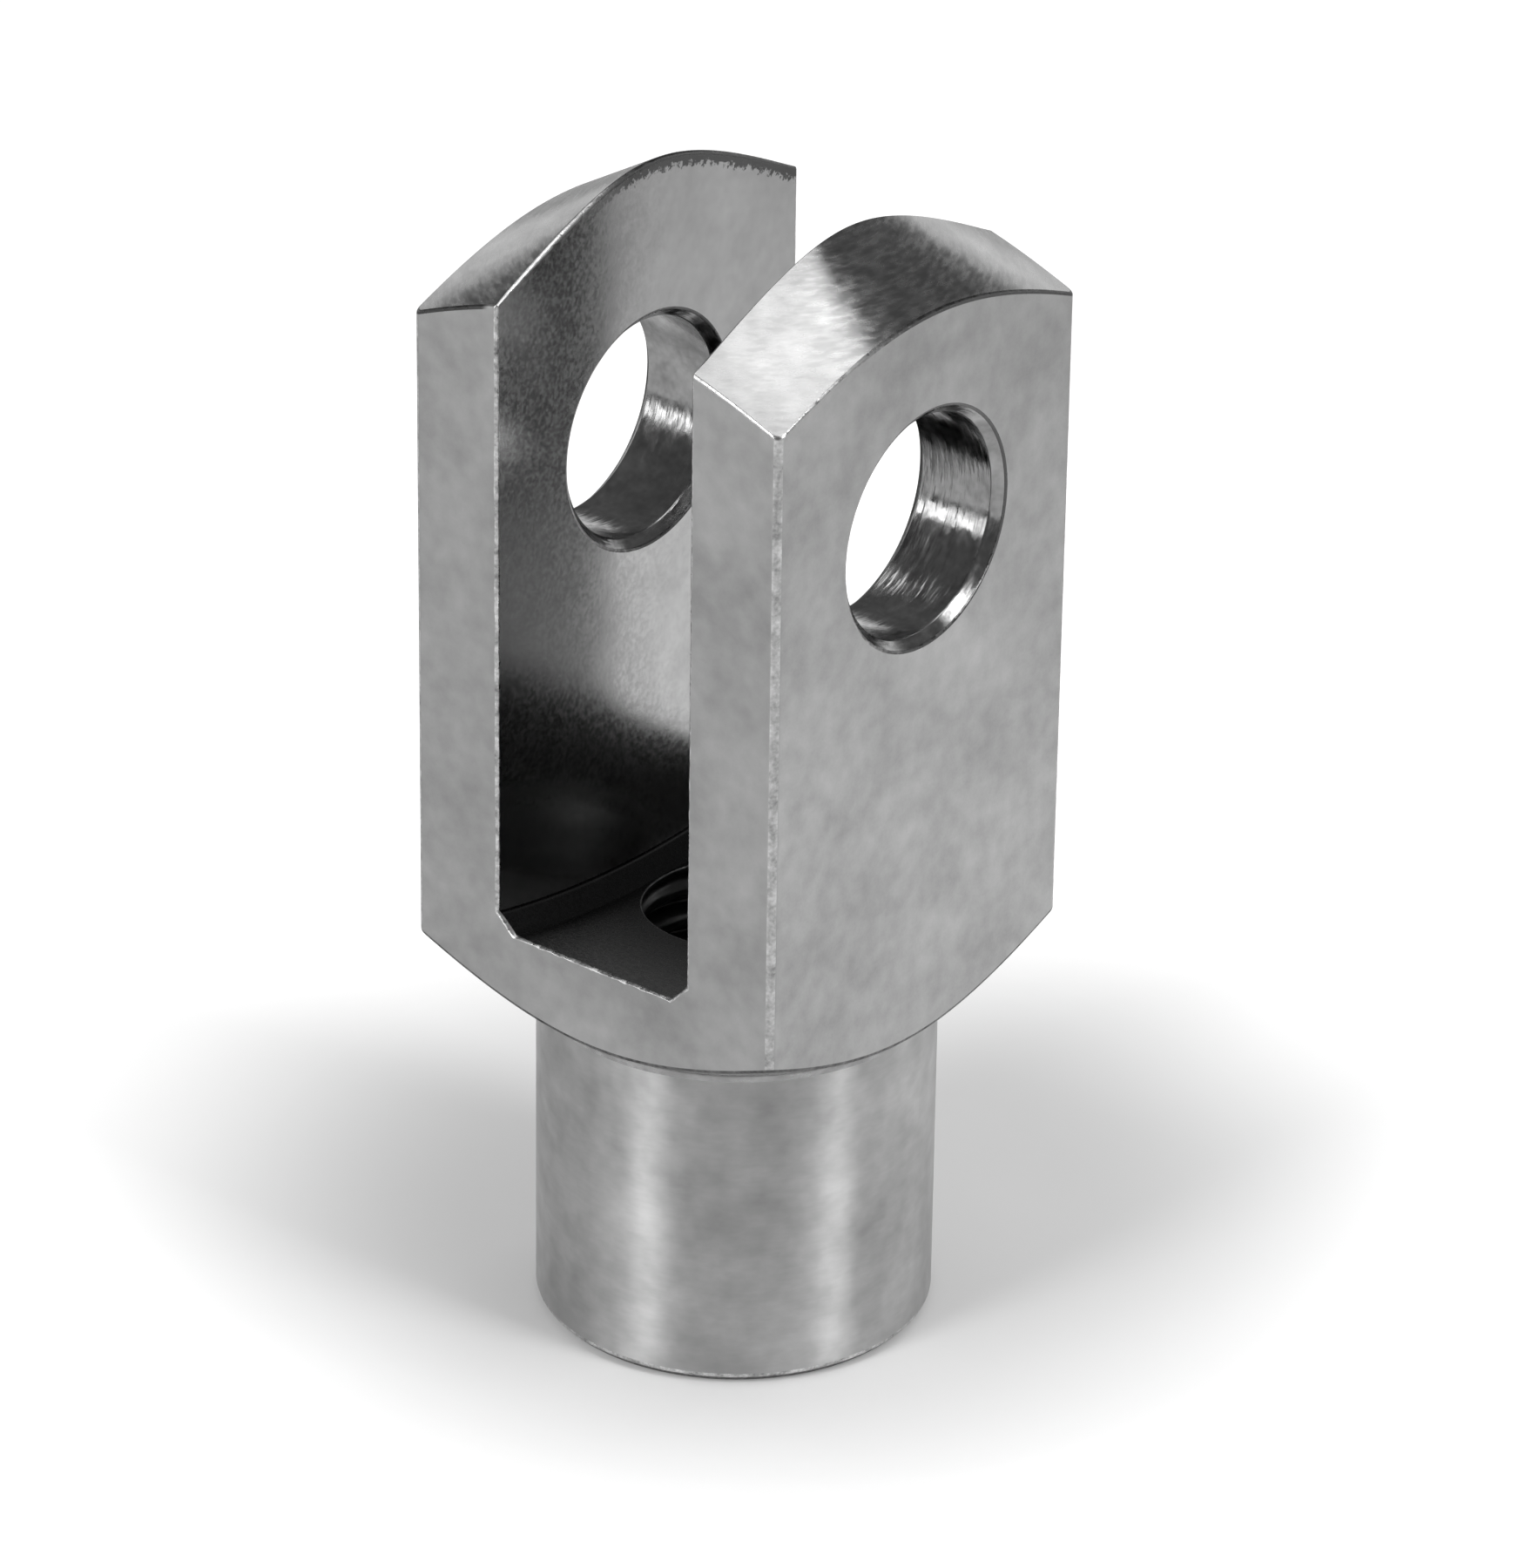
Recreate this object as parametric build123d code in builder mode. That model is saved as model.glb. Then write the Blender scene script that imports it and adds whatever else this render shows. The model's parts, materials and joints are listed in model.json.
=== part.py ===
from build123d import *
import os
from math import radians, sqrt, tan

os.makedirs("parts", exist_ok=True)

# Fork head for a tension rod: a square steel bar, turned at both ends and slotted.
# The thread runs along Z and the pin along X. The origin is the middle of the neck's base.

# Driving dimensions, in millimetres and degrees

# The square bar, and heights above the base of the neck. The fork's length is to the tips
# of the ears, where the crown would meet the slot in a sharp edge.
bar_side = 20.0
bar_corner_radius = 0.4
fork_length = 53.2
pin_height = 40.6

# The turned neck, and the cone that joins it to the square body
neck_diameter = 17.8
neck_length = 15.6
neck_base_chamfer = 0.4
shoulder_slope = 30.0

# The turned crown over the ears, one cone about the thread's axis
crown_slope = 30.0

# The slot between the ears, which takes the eye or the plate. The disc cutter's radius makes its
# floor lowest in the middle, and the height is given there.
slot_width = 10.6
slot_cutter_radius = 50.0
slot_floor_height = 19.2
slot_root_chamfer = 0.9
slot_edge_break = 0.15

# The pin hole through both ears
pin_hole_diameter = 10.0
pin_hole_outer_chamfer = 0.45
pin_hole_inner_chamfer = 0.45

# The bore for the M10 thread, at its core diameter, and its countersink at the base
thread_core_diameter = 8.5
thread_countersink_diameter = 10.5
thread_countersink_angle = 90.0

# How close a face or an edge has to lie to the place it is picked by
tolerance = 0.01

# Values that follow from them
half_bar = bar_side / 2
half_slot = slot_width / 2
swing_radius = bar_side / sqrt(2)
shoulder_rise = (swing_radius - neck_diameter / 2) * tan(radians(shoulder_slope))
apex_height = fork_length + half_slot * tan(radians(crown_slope))
crown_drop = swing_radius * tan(radians(crown_slope))
slot_cutter_height = slot_floor_height + slot_cutter_radius


def near(value, target):
    """True where a measured place or radius is the one that was asked for."""
    return abs(value - target) < tolerance


def in_slot(face):
    """True for the walls, root and floor of the slot. None of them faces along Y at its middle."""
    middle = face.center()
    faces_inwards = abs(face.normal_at().Y) < tolerance
    above_floor = middle.Z > slot_floor_height - tolerance
    return faces_inwards and above_floor and abs(middle.X) < half_slot + tolerance


def on_open_side(edge):
    """True for an edge on the two flat sides that the slot opens in."""
    return near(abs(edge.center().Y), half_bar)


def on_outer_face(edge):
    """True for an edge on the two flat sides that the pin passes through."""
    return near(abs(edge.center().X), half_bar)


def on_slot_wall(edge):
    """True for an edge on either wall of the slot."""
    return near(abs(edge.center().X), half_slot)


def pin_hole_rims(part):
    """The round edges of the part that still have the pin hole's radius."""
    round_edges = part.edges().filter_by(GeomType.CIRCLE)
    return round_edges.filter_by(lambda edge: near(edge.radius, pin_hole_diameter / 2))


with BuildPart() as fork_head:
    # The blank is a length of square bar with its drawn corners.
    with BuildSketch(Plane.XY):
        RectangleRounded(bar_side, bar_side, bar_corner_radius)
    extrude(amount=apex_height)

    # Turning leaves only what lies inside this profile, spun about the thread's axis.
    # It cuts the neck, and runs the crown and the shoulder across the square's corners.
    with BuildSketch(Plane.XZ):
        with BuildLine():
            Polyline(
                (0, 0),
                (neck_diameter / 2 - neck_base_chamfer, 0),
                (neck_diameter / 2, neck_base_chamfer),
                (neck_diameter / 2, neck_length),
                (swing_radius, neck_length + shoulder_rise),
                (swing_radius, apex_height - crown_drop),
                (0, apex_height),
                close=True,
            )
        make_face()
    revolve(axis=Axis.Z, mode=Mode.INTERSECT)

    # A disc cutter that plunges from the top mills the slot right through. Its rim leaves the
    # hollow floor, and its chamfered corners leave a chamfered root.
    with BuildSketch(Plane.XZ):
        with Locations((0, slot_floor_height)):
            disc = Rectangle(slot_width, slot_cutter_radius, align=(Align.CENTER, Align.MIN))
        chamfer(disc.vertices().group_by(Axis.Y)[0], slot_root_chamfer)
    revolve(axis=Axis((0, 0, slot_cutter_height), (1, 0, 0)), mode=Mode.SUBTRACT)

    # Every arris of the slot is broken: over the crown and down the flat sides first, and then
    # round the root. Only the arcs inside it, where the cutter's faces meet, stay as they are.
    wall_edges = fork_head.faces().filter_by(in_slot).filter_by(GeomType.PLANE).edges()
    chamfer(wall_edges - wall_edges.filter_by(GeomType.CIRCLE), slot_edge_break)
    root_edges = fork_head.faces().filter_by(in_slot).edges().filter_by(on_open_side)
    chamfer(root_edges, slot_edge_break)

    # The pin hole is drilled through both ears in one pass, and all four of its rims are broken.
    with Locations(Plane.YZ.offset(half_bar)):
        with Locations((0, pin_height)):
            Hole(pin_hole_diameter / 2)
    pin_rims = pin_hole_rims(fork_head)
    chamfer(pin_rims.filter_by(on_outer_face), pin_hole_outer_chamfer)
    pin_rims = pin_hole_rims(fork_head)
    chamfer(pin_rims.filter_by(on_slot_wall), pin_hole_inner_chamfer)

    # The thread's bore is drilled and countersunk from the base, and opens in the slot's floor.
    with Locations(Location((0, 0, 0), (180, 0, 0))):
        CounterSinkHole(
            radius=thread_core_diameter / 2,
            counter_sink_radius=thread_countersink_diameter / 2,
            depth=slot_floor_height + slot_root_chamfer,
            counter_sink_angle=thread_countersink_angle,
        )

fork_head.part.label = "fork_head"
export_step(fork_head.part, "parts/fork_head.step")
print("fork head volume", round(fork_head.part.volume), "cubic mm, faces", len(fork_head.faces()))
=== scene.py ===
# %% [markdown]
# # A fork head for a tension rod
#
# This lesson dresses one machined steel part: a fork head, also called a clevis. The real one starts
# as a length of square bar. A lathe turns the neck at one end and a cone, the crown, at the other. A
# cutter mills the slot that leaves the two ears. A drill makes the pin hole across both ears and the
# bore up the neck, and a tap cuts the thread.
#
# The imported model is the frame that everything has to fit, so it is loaded first. Its box is kept.

# %% Load the frame
import json
from math import cos, radians, sin, sqrt, tan

import bmesh
import bpy
import numpy as np
from mathutils import Matrix, Vector


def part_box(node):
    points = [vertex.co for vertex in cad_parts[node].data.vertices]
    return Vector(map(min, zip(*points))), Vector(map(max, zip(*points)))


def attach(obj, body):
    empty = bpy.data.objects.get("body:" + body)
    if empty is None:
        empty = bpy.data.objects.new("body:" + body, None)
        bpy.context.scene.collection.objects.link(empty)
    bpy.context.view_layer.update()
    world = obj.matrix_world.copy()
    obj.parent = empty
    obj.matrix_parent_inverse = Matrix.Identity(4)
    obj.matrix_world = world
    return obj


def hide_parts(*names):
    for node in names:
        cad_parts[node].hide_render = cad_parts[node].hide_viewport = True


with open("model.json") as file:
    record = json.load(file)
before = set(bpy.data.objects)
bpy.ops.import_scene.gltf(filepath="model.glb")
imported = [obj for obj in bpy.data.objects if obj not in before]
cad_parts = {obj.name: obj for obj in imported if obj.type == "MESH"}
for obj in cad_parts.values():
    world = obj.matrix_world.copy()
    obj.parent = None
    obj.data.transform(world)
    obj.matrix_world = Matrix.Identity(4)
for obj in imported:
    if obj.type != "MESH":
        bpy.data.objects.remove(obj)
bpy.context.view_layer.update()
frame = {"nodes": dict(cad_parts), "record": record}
lowest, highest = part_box("fork_head")
print("the frame holds", sorted(frame["nodes"]), "and measures", [round(v, 5) for v in highest - lowest])

# %% [markdown]
# ## The sizes of the part
#
# Every surface below is worked out from these few sizes, in metres. The bar's side comes from the
# frame, and the pin hole and the thread's core from the mounts in its record, so those are read and
# not typed again. The rest are the sizes that the part was designed with. The last two say how far a
# small rounding reaches from its edge: `wide` onto the bar's sides, the cones and the neck, and `soft`
# elsewhere.

# %% Sizes
MM = 0.001
mounts = {mount["name"]: mount for mount in frame["record"]["mounts"]}

half_bar = (highest.x - lowest.x) / 2
bar_corner = 0.4 * MM
neck_radius = 8.9 * MM
neck_top = 15.6 * MM
neck_chamfer = 0.4 * MM
cone_angle = radians(30)
slope = tan(cone_angle)

half_slot = 5.3 * MM
slot_cutter = 50.0 * MM
slot_floor = 19.2 * MM
slot_root = 0.9 * MM
slot_break = 0.15 * MM
ear_tip = 53.2 * MM

pin_height = mounts["pin_bore"]["pos_m"][2]
pin_radius = mounts["pin_bore"]["dims"]["r_mm"] * MM
pin_chamfer = 0.45 * MM

core_radius = mounts["rod_thread"]["dims"]["r_mm"] * MM
thread_radius = 5.0 * MM
thread_pitch = 1.5 * MM
countersink_radius = 5.25 * MM

soft = 0.07 * MM
wide = 0.14 * MM
print("pin hole", pin_radius / MM, "mm and thread core", core_radius / MM, "mm in radius")

# %% [markdown]
# ## Crown, shoulder and outline
#
# Two cones and one outline give the whole outside. The crown is a cone that falls by 30 degrees away
# from the axis, and the shoulder is a cone that rises by 30 degrees from the neck. Where a cone meets
# the flat side of a square bar, it leaves the curved edge that every turned square shows. Nothing has
# to be cut for that edge: each point of the square's outline has its own distance from the axis, and
# the cone's height at that distance is the edge's height.
#
# The slot's floor is hollow, because a disc cutter of 100 mm went straight down into the bar. The
# photograph shows it: the slot's root sags between the front and the middle, where the bore is. So
# each section across the slot is the same, and only rises towards the flat sides by the disc's arc.


# %% The two cones, the slot's arc and the outline of the bar
def crown_height(x, y):
    """Height of the crown over a plan point: it falls from the ear's tip with the radius."""
    return ear_tip + (half_slot - np.hypot(x, y)) * slope


def shoulder_height(x, y):
    """Height of the shoulder's cone over a plan point: it rises with the radius from the neck."""
    return neck_top + (np.hypot(x, y) - neck_radius) * slope


def slot_rise(y):
    """How far the slot's floor has risen at a depth in y: radius - sqrt(radius^2 - y^2)."""
    return slot_cutter - np.sqrt(slot_cutter**2 - y**2)


def quarter_outline(side_steps=30, ear_steps=14, slot_steps=22, corner_steps=6, crowding=1.6):
    """Plan points of a quarter of the rounded square, from the middle of the +X side to the middle
    of the +Y side. The points on the +Y side include the one where the slot's broken edge ends. Their
    gap to the corner is a share to the power `crowding`, so the steps shrink towards the corner."""
    flat = half_bar - bar_corner
    slot_side = half_slot + slot_break
    up = flat * (1 - np.linspace(1, 0, side_steps) ** crowding)
    turn = np.radians(np.linspace(0, 90, corner_steps + 1))
    ear = flat - (flat - slot_side) * np.linspace(0, 1, ear_steps) ** crowding
    along = np.append(ear, np.linspace(slot_side, 0, slot_steps)[1:])
    x = np.concatenate([np.full(side_steps, half_bar), flat + bar_corner * np.cos(turn[1:]), along[1:]])
    y = np.concatenate([up, flat + bar_corner * np.sin(turn[1:]), np.full(len(along) - 1, half_bar)])
    return np.stack([x, y], 1)


quarter = quarter_outline()
half = np.concatenate([quarter, quarter[-2::-1] * (-1, 1)])
outline = np.concatenate([half, half[-2:0:-1] * (1, -1)])
print("the outline has", len(outline), "points,", len(quarter), "of them in a quarter")

# %% [markdown]
# ## Patches, grids and soft edges
#
# A patch is a grid of points, rows by columns, and each cell of the grid becomes a face. A flat patch
# is simpler: one face with many corners. All patches that meet share the same points along their
# common edge, so merging the doubles closes the model.
#
# No machined edge is a perfect line. A soft edge is a quadratic Bezier curve across the corner, from a
# point just before it to a point just after it. `fullness` says how far the curve bulges towards the
# sharp corner: 1 is a rounding and 0 is a plain chamfer.

# %% Helpers for patches
FINISHES = (
    "flat", "turned", "neck", "bored", "milled", "root", "corner", "edge", "rim", "dull", "thread"
)
patches = []


def to_3d(plan, height):
    """Puts plan points at a height, as an array of x, y, z."""
    return np.concatenate([plan, np.broadcast_to(height, plan.shape[:-1])[..., None]], -1)


def soft_edge(before, corner, after, steps=4, fullness=1.0):
    """Points across an edge, rows by columns: (1-t)^2 before + 2t(1-t) control + t^2 after, where the
    control point lies between the chord's middle and the sharp corner."""
    t = np.linspace(0, 1, steps + 1)[:, None, None]
    control = (before + after) / 2 * (1 - fullness) + corner * fullness
    return (1 - t) ** 2 * before + 2 * t * (1 - t) * control + t**2 * after


def add_grid(points, finish, copies):
    """Keeps a grid patch. copies is 1 for a whole piece, and 4 for a quarter to mirror in X and Y."""
    patches.append(("grid", points, finish, copies))


def add_flat(loop, finish, copies):
    """Keeps a flat patch, one face round a loop of points."""
    patches.append(("flat", loop, finish, copies))


print("patches can have", len(FINISHES), "finishes")


# %% [markdown]
# ## Neck, shoulder, base and thread
#
# Below the flat sides the part is a body of revolution, apart from the shoulder's outer edge, which
# follows the square. One grid does all of it. Its columns are the points of the outline, each with its
# own direction from the axis, and its rows go down the profile: off the flat side, in along the
# shoulder, down the neck, round the base and up the countersink.


# %% The profile below the flats
direction = outline / np.linalg.norm(outline, axis=1, keepdims=True)
bearing = np.arctan2(outline[:, 1], outline[:, 0])
lean = np.array([cos(cone_angle), sin(cone_angle)]) * wide


def ring(radius, height):
    """A row of the grid at one radius and height, the same in every direction."""
    return to_3d(direction * radius, height)


def ring_edge(before, corner, after, steps=4):
    """A soft edge between rings, each given as a radius and a height."""
    return soft_edge(ring(*before), ring(*corner), ring(*after), steps)


side_foot = shoulder_height(*outline.T)
shoulder_edge = soft_edge(
    to_3d(outline, side_foot + wide),
    to_3d(outline, side_foot),
    to_3d(outline - direction * lean[0], side_foot - lean[1]),
)
fillet = 0.35 * MM
base_radius = neck_radius - neck_chamfer
shoulder_fillet = ring_edge(
    (neck_radius + fillet * cos(cone_angle), neck_top + fillet * sin(cone_angle)),
    (neck_radius, neck_top),
    (neck_radius, neck_top - fillet),
    steps=6,
)
neck_edge = ring_edge(
    (neck_radius, neck_chamfer + wide), (neck_radius, neck_chamfer), (neck_radius - soft, neck_chamfer - soft)
)
base_edge = ring_edge((base_radius + soft, soft), (base_radius, 0), (base_radius - soft, 0))
mouth_edge = ring_edge(
    (countersink_radius + soft, 0), (countersink_radius, 0), (countersink_radius - soft, soft)
)
# The dull finish is painted shade: on the shoulder's edge under the body, and on the base's chamfer by the
# floor.
add_grid(shoulder_edge, "dull", 1)
add_grid(np.stack([shoulder_edge[-1], shoulder_fillet[0]]), "turned", 1)
add_grid(shoulder_fillet, "turned", 1)
add_grid(np.stack([shoulder_fillet[-1], neck_edge[0]]), "neck", 1)
add_grid(neck_edge, "edge", 1)
add_grid(np.stack([neck_edge[-1], base_edge[0]]), "dull", 1)
add_grid(base_edge, "dull", 1)
add_grid(np.stack([base_edge[-1], mouth_edge[0]]), "turned", 1)
add_grid(mouth_edge, "edge", 1)
print("the profile below the flats has", len(patches), "patches")

# %% [markdown]
# The thread is a real helix. Its radius depends on the phase, which is the height in pitches less the
# bearing in turns: the groove is cut where the phase is near a whole number, and its depth falls away
# linearly on both sides, as the 60 degree flanks do. The wider of groove and countersink wins, so
# the first turn comes out of the cone as it does on the real part. Near the slot the groove fades, as
# the tap runs out, and leaves a clean mouth.


# %% The threaded bore
def mouth_height(radius):
    """Height of the slot's hollow floor round the bore, at one radius and every bearing."""
    return slot_floor + slot_rise(radius * direction[:, 1])


def thread_surface(rows_per_pitch=14, run_out=1.2 * MM, root_flat=1 / 16):
    """Radius of the bore over height and bearing. The groove has a flat of an eighth of a pitch at
    its bottom, and flanks at 30 degrees, and fades out linearly below the slot's floor. The rows
    are spread evenly up to the mouth, which is a little higher in front and behind."""
    share = np.linspace(0, 1, round(rows_per_pitch * slot_floor / thread_pitch))[:, None]
    height = soft + share * (mouth_height(core_radius) - 2 * soft)
    phase = height / thread_pitch - bearing / (2 * np.pi)
    away = np.abs(phase - np.round(phase))
    depth = thread_radius - core_radius
    flank = depth * slope / thread_pitch
    groove = np.clip((root_flat + flank - away) / flank, 0, 1)
    fade = np.clip((slot_floor - 2 * soft - height) / run_out, 0, 1)
    radius = np.maximum(core_radius + depth * groove * fade, countersink_radius - height)
    return to_3d(direction[None] * radius[..., None], height)


thread = thread_surface()
slot_mouth_edge = ring_edge(
    (core_radius, mouth_height(core_radius) - soft),
    (core_radius, mouth_height(core_radius)),
    (core_radius + soft, mouth_height(core_radius + soft)),
)
add_grid(thread, "thread", 1)
# Painted shade round the bore's mouth in the slot's floor.
add_grid(slot_mouth_edge, "dull", 1)
print("the thread has", thread.shape[0] * thread.shape[1], "points")

# %% [markdown]
# ## The ears
#
# The two ears are mirror copies, and each is its own mirror copy front to back, so only a quarter of
# the top is worked out and then copied. Every straight line on the crown's cone points at its apex, so
# the crown's grid runs from the slot's edge out to the bar's outline along those lines.

# %% The crown of one ear
at_break = np.isclose(quarter[:, 0], half_slot + slot_break)
ear_corner = int(np.argmax(at_break & np.isclose(quarter[:, 1], half_bar)))
rim = quarter[: ear_corner + 1]
rim_reach = np.hypot(*rim.T)
rim_way = rim / rim_reach[:, None]
crown_rim = rim_way * (rim_reach - lean[0])[:, None]
slot_reach = np.minimum((half_slot + slot_break) / rim_way[:, 0], rim_reach - lean[0])
crown_inner = rim_way * slot_reach[:, None]

side_top = to_3d(rim, crown_height(*rim.T) - wide)
crown_edge = soft_edge(
    to_3d(crown_rim, crown_height(*crown_rim.T)), to_3d(rim, crown_height(*rim.T)), side_top
)
crown_line = to_3d(crown_inner, crown_height(*crown_inner.T))
add_grid(np.stack([crown_line, crown_edge[0]]), "turned", 4)
# The rim finish paints a highlight in front and shade behind.
add_grid(crown_edge, "rim", 4)
print("the crown's edge has", len(rim), "points on a quarter")

# %% [markdown]
# The slot's edges were broken with a file or a brush, so they are wider and flatter than the others.
# Over the crown the cutter left the most burr, so there the break grows to twice its width. It is
# back to its own width at the front and the back, and from there it runs down the ear's corner, round
# the slot's root and along its floor. On this stretch its two outer lines are a little ragged, and
# more so round the root than on the ears.

# %% The broken edges of the slot
BREAK_STEPS = 4
BREAK_FULLNESS = 0.55
burr_power = 4
ear_raggedness = 0.03 * MM
root_raggedness = 0.05 * MM
wall_depth = half_bar - slot_break
wall_y = crown_inner[:, 1] * wall_depth / crown_inner[-1, 1]
wall_plan = np.stack([np.full(len(rim), half_slot), wall_y], 1)
burr = slot_break * (1 - (wall_y / wall_y[-1]) ** burr_power)
wall_top = to_3d(wall_plan, crown_height(*wall_plan.T) - slot_break - burr)
sharp_plan = np.stack([np.full(len(rim), half_slot), crown_inner[:, 1]], 1)
sharp_top = to_3d(sharp_plan, crown_height(*sharp_plan.T))
crown_break = soft_edge(crown_line, sharp_top, wall_top, BREAK_STEPS, BREAK_FULLNESS)
# The crown's break takes the rim finish too: painted highlight in front, painted shade behind.
add_grid(crown_break, "rim", 4)


def slot_path(depth, grow, top):
    """Corners of the slot's outline in x and z at one depth in y, grown outwards, from an ear's tip
    to the middle of the floor. A grown corner of 45 degrees moves on by 2 - sqrt(2) of the growth."""
    side = half_slot + grow
    foot = slot_floor + slot_rise(depth) - grow
    root = slot_root + grow * (2 - sqrt(2))
    return np.array([(side, top), (side, foot + root), (side - root, foot), (0, foot)])


wall_path = slot_path(wall_depth, 0, wall_top[-1, 2])
face_path = slot_path(half_bar, slot_break, side_top[-1, 2])


def along_path(path, depth, per_run):
    """Points along a path of straight runs, each run cut into equal steps, at one depth in y."""
    runs = [np.linspace(a, b, n, endpoint=False) for a, b, n in zip(path, path[1:], per_run)]
    line = np.concatenate(runs + [path[-1:]])
    return np.stack([line[:, 0], np.full(len(line), depth), line[:, 1]], 1)


def waver(count, seed, spacing=2, fade=10):
    """A ragged line from -1 to 1: one random number for every `spacing` points, joined by straight
    lines, and faded in over the first `fade` points."""
    knots = np.random.default_rng(seed).uniform(-1, 1, count // spacing + 1)
    place = np.arange(count)
    return np.interp(place / spacing, np.arange(len(knots)), knots) * np.clip(place / fade, 0, 1)


edge_runs = (110, 5, 26)
root_top = edge_runs[0]
floor_start = root_top + edge_runs[1]
wall_line = along_path(wall_path, wall_depth, edge_runs)
sharp_line = wall_line * (1, 0, 1) + (0, half_bar, 0)
face_line = along_path(face_path, half_bar, edge_runs)
run_ways = [(1, 0, 0), (sqrt(0.5), 0, -sqrt(0.5)), (0, 0, -1)]
outward = np.repeat(run_ways, (root_top, edge_runs[1], edge_runs[2] + 1), axis=0)
raggedness = np.repeat((ear_raggedness, root_raggedness), (root_top, len(face_line) - root_top))
wall_line[:, 1] -= raggedness * waver(len(wall_line), 1)
wall_line[root_top:, 2] += slot_rise(wall_line[root_top:, 1]) - slot_rise(wall_depth)
face_line += outward * (raggedness * waver(len(face_line), 2))[:, None]
slot_edge = soft_edge(face_line, sharp_line, wall_line, BREAK_STEPS, BREAK_FULLNESS)
add_grid(slot_edge, "edge", 4)
print("the slot's broken edge has", len(face_line), "points on a quarter")

# %% [markdown]
# At each ear's front and back corner the crown's rim, the crown's break and the upright break meet. On
# the real part the file just runs off there. A small patch closes the corner. It blends the two breaks
# from one to the other and adds the rim's own curve to them, so it shares its points with all three.

# %% The small corner where three edges meet
start = crown_edge[:, -1]
blend = np.linspace(0, 1, BREAK_STEPS + 1)[:, None, None]
weight = np.linspace(0, 1, len(start))[None, :, None]
chord = start[0] * (1 - weight[0]) + start[-1] * weight[0]
across = crown_break[:, -1][:, None] * (1 - weight) + slot_edge[:, 0][:, None] * weight
add_grid(across + (start - chord)[None] * (1 - blend), "edge", 4)
print("the small corner has", across.shape[0] * across.shape[1], "points")

# %% [markdown]
# ## The flat sides, the slot and the pin hole
#
# The pin hole is drilled through both ears in one pass and broken at all four rims. It is turned about
# the X axis here: its rows go in over a chamfer at each end of the ear, and the bore joins them.

# %% The pin hole
PIN_STEPS = 60
pin_turn = np.radians(np.linspace(-90, 90, PIN_STEPS + 1))


def pin_ring(depth, radius):
    """Half a ring about the pin's axis, from its lowest point to its highest."""
    y = radius * np.cos(pin_turn)
    z = pin_height + radius * np.sin(pin_turn)
    return np.stack([np.full(len(y), depth), y, z], 1)


def pin_edge(before, corner, after):
    """A soft edge between rings about the pin's axis, each given as a depth and a radius."""
    return soft_edge(pin_ring(*before), pin_ring(*corner), pin_ring(*after))


rim_radius = pin_radius + pin_chamfer


def pin_end(face, inward):
    """The rows at one end of the hole: the rim, the chamfer and the start of the bore. inward is the
    way into the metal from the face, 1 or -1 along X."""
    start = face + inward * pin_chamfer
    rim = pin_edge(
        (face, rim_radius + soft), (face, rim_radius), (face + inward * soft, rim_radius - soft)
    )
    bore = pin_edge(
        (start - inward * soft, pin_radius + soft), (start, pin_radius), (start + inward * soft, pin_radius)
    )
    # The pin hole's rims take the rim finish: painted highlight in front, painted shade behind.
    add_grid(rim, "rim", 4)
    add_grid(np.stack([rim[-1], bore[0]]), "bored", 4)
    add_grid(bore, "bored", 4)
    return rim[0], bore[-1]


outer_rim, outer_bore = pin_end(half_bar, -1)
inner_rim, inner_bore = pin_end(half_slot, 1)
add_grid(np.stack([outer_bore, inner_bore]), "bored", 4)
print("each rim of the pin hole has", 2 * PIN_STEPS, "points")

# %% [markdown]
# The bar's sides are as it was drawn through a die: flat, with small round corners. Half of a flat side
# is one face, and its loop is read off the patches that it meets, so no point is typed twice. The round
# corner between two sides is a narrow strip of columns, and its middle has a finish of its own.

# %% The flat faces
hair = 1e-6 * MM
foot = shoulder_edge[0][: len(quarter)]
corner_from = int(np.argmax(quarter[:, 1] >= half_bar - bar_corner - hair))
corner_to = int(np.argmax(quarter[:, 1] >= half_bar - hair))
# The round corner's middle gets a brighter tone, which is a painted highlight.
for first, last, finish in (
    (corner_from, corner_from + 1, "flat"),
    (corner_from + 1, corner_to - 1, "corner"),
    (corner_to - 1, corner_to, "flat"),
):
    add_grid(np.stack([side_top[first : last + 1], foot[first : last + 1]]), finish, 4)
pin_side = np.concatenate([foot[: corner_from + 1], side_top[corner_from::-1], outer_rim[::-1]])
add_flat(pin_side, "flat", 4)
open_side = np.concatenate([foot[corner_to:], face_line[::-1], side_top[-2 : corner_to - 1 : -1]])
add_flat(open_side, "flat", 4)
print("half a flat side has", len(pin_side), "or", len(open_side), "corners")

# %% [markdown]
# The slot's floor and its chamfered root are hollow, so they are grids. The floor's columns run from
# the bore's mouth to the root and to the slot's front edge, and its height is the disc's arc.

# %% The slot's walls and floor
FLOOR_STEPS = 8
mouth = slot_mouth_edge[-1][: len(quarter)]
side_columns = len(quarter) - edge_runs[2]
inner = half_slot - slot_root
side_y = inner * np.tan(np.linspace(0, np.arctan2(wall_depth, inner), side_columns))
root_share = np.linspace(0, 1, edge_runs[1] + 1)[:, None]
root_height = slot_floor + slot_rise(side_y) + slot_root * (1 - root_share)
root_grid = np.stack(np.broadcast_arrays(half_slot - slot_root * root_share, side_y[None], root_height), -1)
root_grid[:, -1] = wall_line[root_top : floor_start + 1]
add_grid(root_grid, "root", 4)

floor_rim = np.concatenate([root_grid[-1], wall_line[floor_start + 1 :]])
out = np.linspace(0, 1, FLOOR_STEPS + 1)[:, None, None]
floor_grid = mouth * (1 - out) + floor_rim * out
floor_grid[..., 2] = slot_floor + slot_rise(floor_grid[..., 1])
add_grid(floor_grid, "root", 4)

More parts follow.
